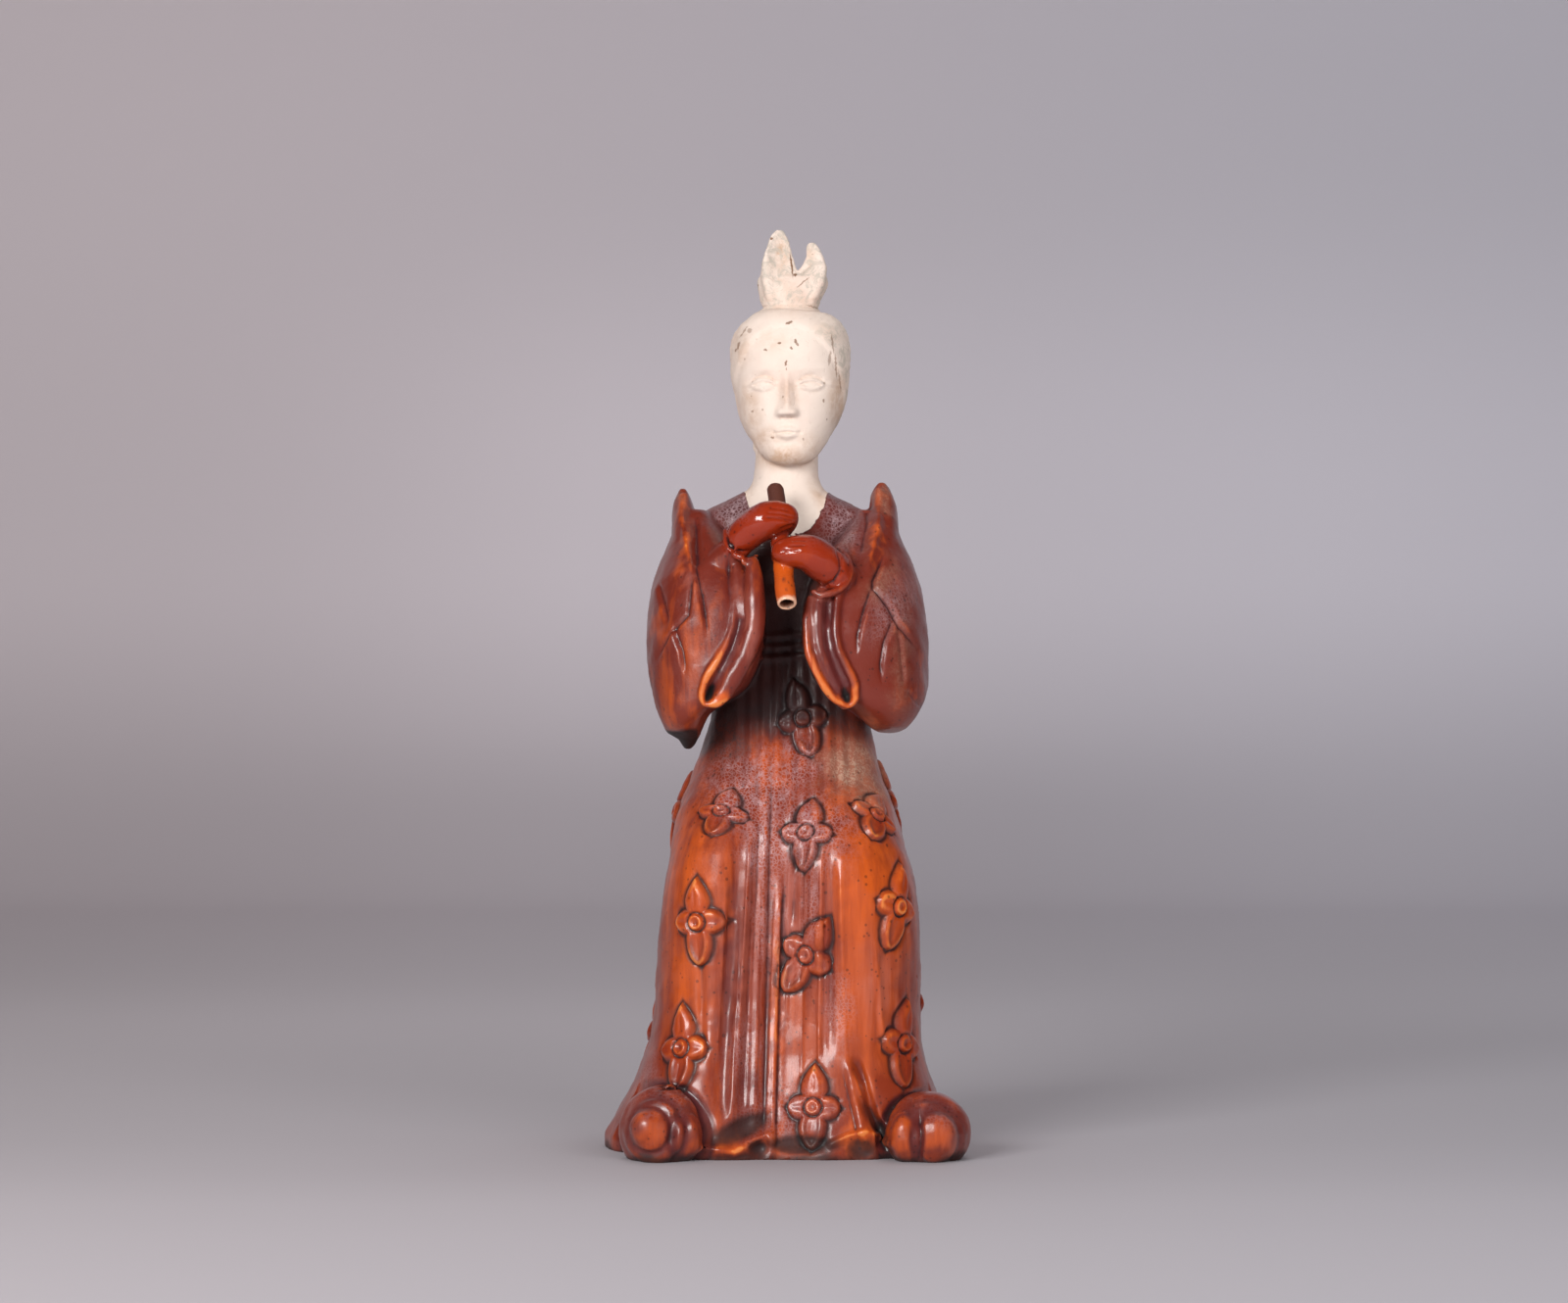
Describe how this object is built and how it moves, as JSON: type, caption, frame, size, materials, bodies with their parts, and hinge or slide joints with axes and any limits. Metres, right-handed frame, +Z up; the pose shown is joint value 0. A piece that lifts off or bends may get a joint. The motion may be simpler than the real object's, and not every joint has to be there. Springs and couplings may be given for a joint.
{
  "type": "pottery figure",
  "caption": "Seated court musician in glazed pottery, holding a short pipe in both hands, with wide hanging sleeves, a flowered skirt and a pale unglazed head.",
  "frame": {"origin": "under the middle of the figure, on the surface that it stands on", "axes": "+Z up, the figure faces -Y, +X to the right of someone who faces it"},
  "size_m": [0.1494, 0.1305, 0.3799],
  "materials": {
    "amber_glaze": "gloss"
  },
  "bodies": {
    "root": {"figure": "amber_glaze"}
  },
  "joints": []
}
